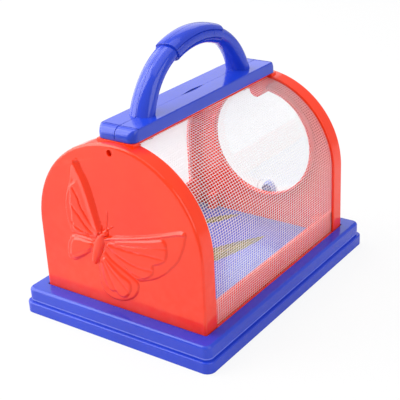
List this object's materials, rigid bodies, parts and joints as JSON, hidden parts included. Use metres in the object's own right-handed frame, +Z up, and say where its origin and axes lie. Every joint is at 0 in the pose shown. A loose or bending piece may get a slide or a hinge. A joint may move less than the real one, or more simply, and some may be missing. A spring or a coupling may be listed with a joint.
{
  "type": "insect catcher cage",
  "caption": "Arched insect cage with a tray base, relief front wall, mesh sides, a carrying handle along the top and a clear round swing door in the rear wall.",
  "frame": {"origin": "middle of the base's underside, on the surface the cage stands on", "axes": "+Z up, +Y along the cage towards the rear wall with the door, +X to the right seen from the front wall"},
  "size_m": [0.13, 0.1744, 0.1553],
  "materials": {
    "red_plastic": "glossy moulded plastic",
    "blue_plastic": "glossy moulded plastic",
    "white_screen": "fine woven plastic screen",
    "clear_plastic": "clear moulded plastic",
    "screw_steel": "zinc plated"
  },
  "bodies": {
    "cage": {"base": "blue_plastic", "front_wall": "red_plastic", "rear_wall": "red_plastic", "left_rail": "red_plastic", "right_rail": "red_plastic", "ridge": "red_plastic", "left_screen": "white_screen", "right_screen": "white_screen", "left_handle_half": "blue_plastic", "right_handle_half": "blue_plastic", "pivot_screw": "screw_steel", "handle_screws": "screw_steel", "base_screws": "screw_steel"},
    "door": {"door": "clear_plastic", "door_knob": "blue_plastic"}
  },
  "joints": [
    {"name": "door_swing", "type": "hinge", "parent": "cage", "child": "door", "pos_m": [0, 0.0767, 0.099], "axis": [0, 1, 0], "range_deg": [-120, 120]}
  ]
}
